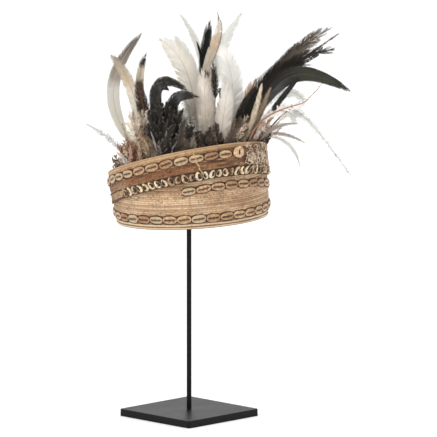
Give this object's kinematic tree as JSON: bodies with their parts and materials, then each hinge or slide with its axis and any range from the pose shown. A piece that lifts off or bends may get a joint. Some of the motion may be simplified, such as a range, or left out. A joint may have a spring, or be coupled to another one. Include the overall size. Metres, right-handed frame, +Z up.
{
  "type": "feathered headdress on a stand",
  "caption": "Round plant-fibre hat with rows of small shells and a spreading plume of cock feathers, held on a plain square-based metal stand.",
  "frame": {"origin": "middle of the base plate's underside, on the axis of the rod", "axes": "+Z up, +X to the hat's right as seen from its front, -Y to the front"},
  "size_m": [0.3265, 0.2044, 0.5039],
  "materials": {
    "black_steel": "satin black paint",
    "plant_fibre": "wound plant-fibre cord, matt",
    "worn_fibre": "wound plant-fibre cord, reddish and worn",
    "woven_crown": "coarse plant-fibre weave, matt",
    "cowrie": "worn stained shell",
    "small_shell": "worn pale shell",
    "pale_shell": "smooth pale shell",
    "down": "brown and grey down",
    "white_feather": "soft white vane",
    "cream_feather": "soft cream vane",
    "tan_feather": "soft tan vane",
    "brown_feather": "soft dark brown vane",
    "grey_feather": "downy grey vane",
    "olive_feather": "glossy olive-black vane",
    "black_feather": "glossy black vane"
  },
  "bodies": {
    "root": {"base_plate": "black_steel", "post": "black_steel", "lower_band": "plant_fibre", "upper_band": "worn_fibre", "crown_cap": "woven_crown", "cowrie_row_lower": "cowrie", "cowrie_row_middle": "cowrie", "cowrie_row_upper": "cowrie", "nassa_row": "small_shell", "round_shell": "pale_shell", "down_front": "down", "down_back": "down", "feather_wisp_left": "white_feather", "feather_sickle_white": "white_feather", "feather_hackle_cream": "cream_feather", "feather_banded": "cream_feather", "feather_brown_left": "brown_feather", "feather_arch_black_a": "black_feather", "feather_arch_black_b": "black_feather", "feather_marabou_grey": "grey_feather", "feather_broad_white": "white_feather", "feather_spike_white": "white_feather", "feather_thin_white": "white_feather", "feather_pointed_black": "black_feather", "feather_thin_black": "black_feather", "feather_tall_tan": "tan_feather", "feather_pale_white": "white_feather", "feather_wide_white": "white_feather", "feather_hook_black": "black_feather", "feather_pink_grey_left": "grey_feather", "feather_pink_grey_right": "grey_feather", "feather_plume_black_upper": "black_feather", "feather_plume_black_lower": "black_feather", "feather_sickle_olive": "olive_feather", "feather_small_black": "black_feather", "feather_tuft_tan": "tan_feather", "feather_short_black": "black_feather", "feather_cream_left": "cream_feather", "feather_cream_right": "cream_feather", "feather_quill_brown": "brown_feather", "feather_tail_white": "white_feather", "feather_quill_dark": "black_feather", "feather_thin_grey": "grey_feather", "feather_curved_white": "white_feather", "feather_curved_grey": "grey_feather"}
  },
  "joints": []
}
